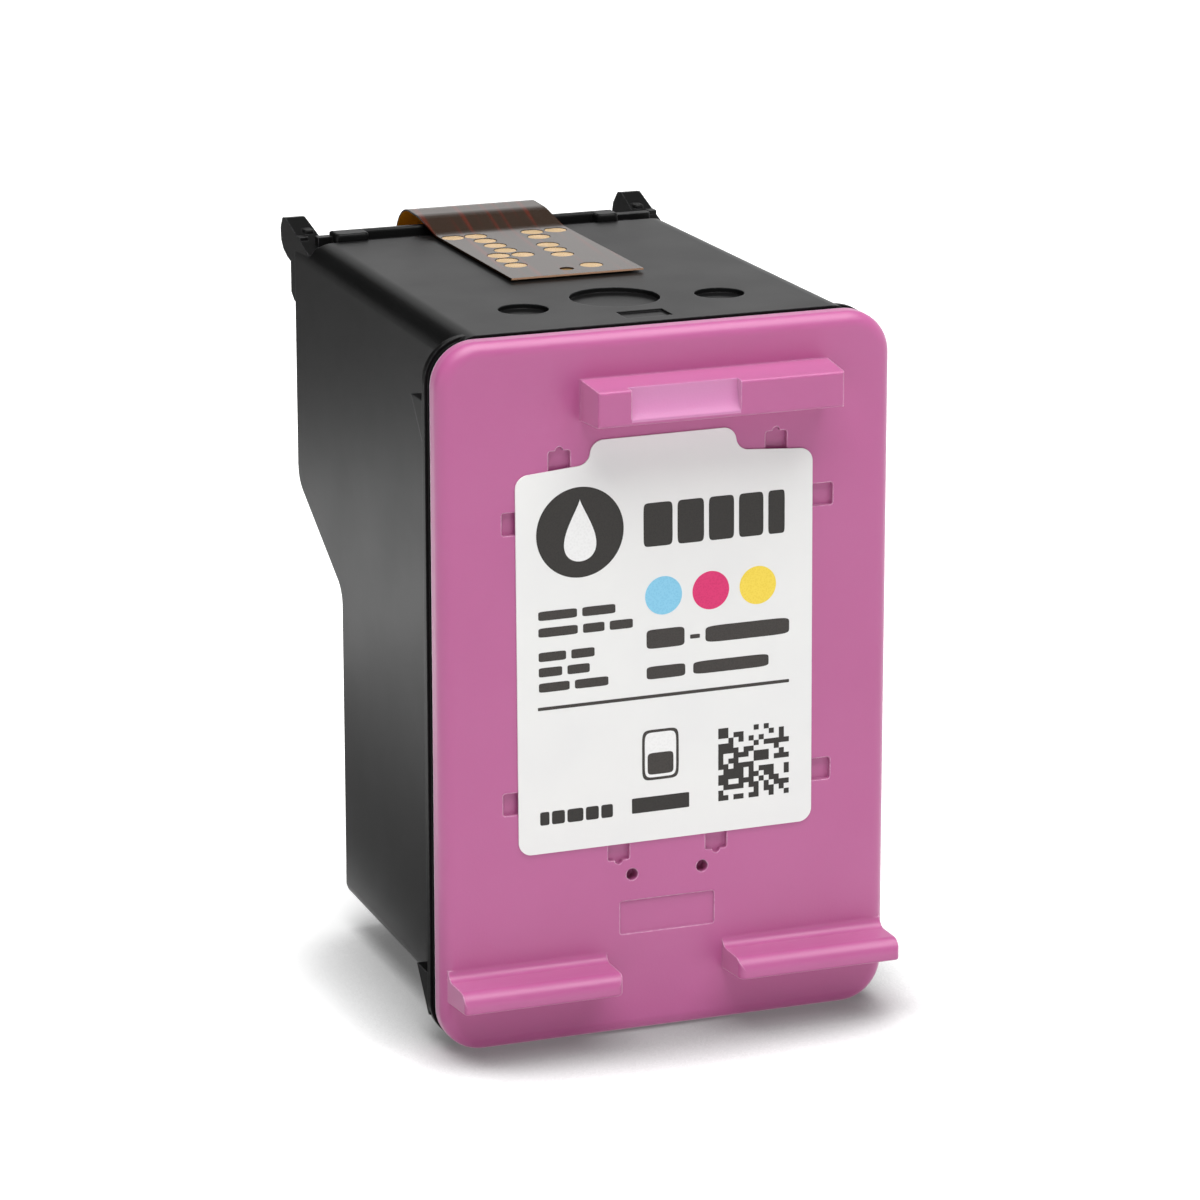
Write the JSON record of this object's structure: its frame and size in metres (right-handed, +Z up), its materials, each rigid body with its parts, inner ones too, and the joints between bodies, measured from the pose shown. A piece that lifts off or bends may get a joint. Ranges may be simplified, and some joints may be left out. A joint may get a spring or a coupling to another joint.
{
  "type": "inkjet ink cartridge",
  "caption": "Upright tri-colour ink cartridge: moulded ink box with welded lid, latch bar, label, contact circuit along its top and a print head on its back.",
  "frame": {"origin": "under the middle of the cartridge's bounding box, at the height of the rim's bottom edge", "axes": "+Z up, out of the contact face; +Y towards the nozzle face; -Y out of the lid with its label; +X to the right of someone facing the label"},
  "size_m": [0.0364, 0.0508, 0.0565],
  "materials": {
    "black_moulding": "satin, fine spark-eroded grain",
    "magenta_moulding": "satin",
    "label_film": "satin printed film",
    "cyan_foam": "open-cell foam, wet with ink",
    "magenta_foam": "open-cell foam, wet with ink",
    "yellow_foam": "open-cell foam, wet with ink",
    "steel_mesh": "fine woven mesh",
    "polyimide": "glossy amber film over copper",
    "adhesive": "semi-gloss",
    "gold_plating": "bright plated",
    "silicon": "polished",
    "nickel_plate": "smooth plated",
    "encapsulant": "glossy epoxy"
  },
  "bodies": {
    "root": {"housing": "black_moulding", "lid": "magenta_moulding", "label": "label_film", "foam_cyan": "cyan_foam", "foam_magenta": "magenta_foam", "foam_yellow": "yellow_foam", "filter_cyan": "steel_mesh", "filter_magenta": "steel_mesh", "filter_yellow": "steel_mesh", "flex_circuit": "polyimide", "flex_adhesive": "adhesive", "contact_pads": "gold_plating", "die_adhesive": "adhesive", "printhead_die": "silicon", "nozzle_plate": "nickel_plate", "encapsulant_beads": "encapsulant"}
  },
  "joints": []
}
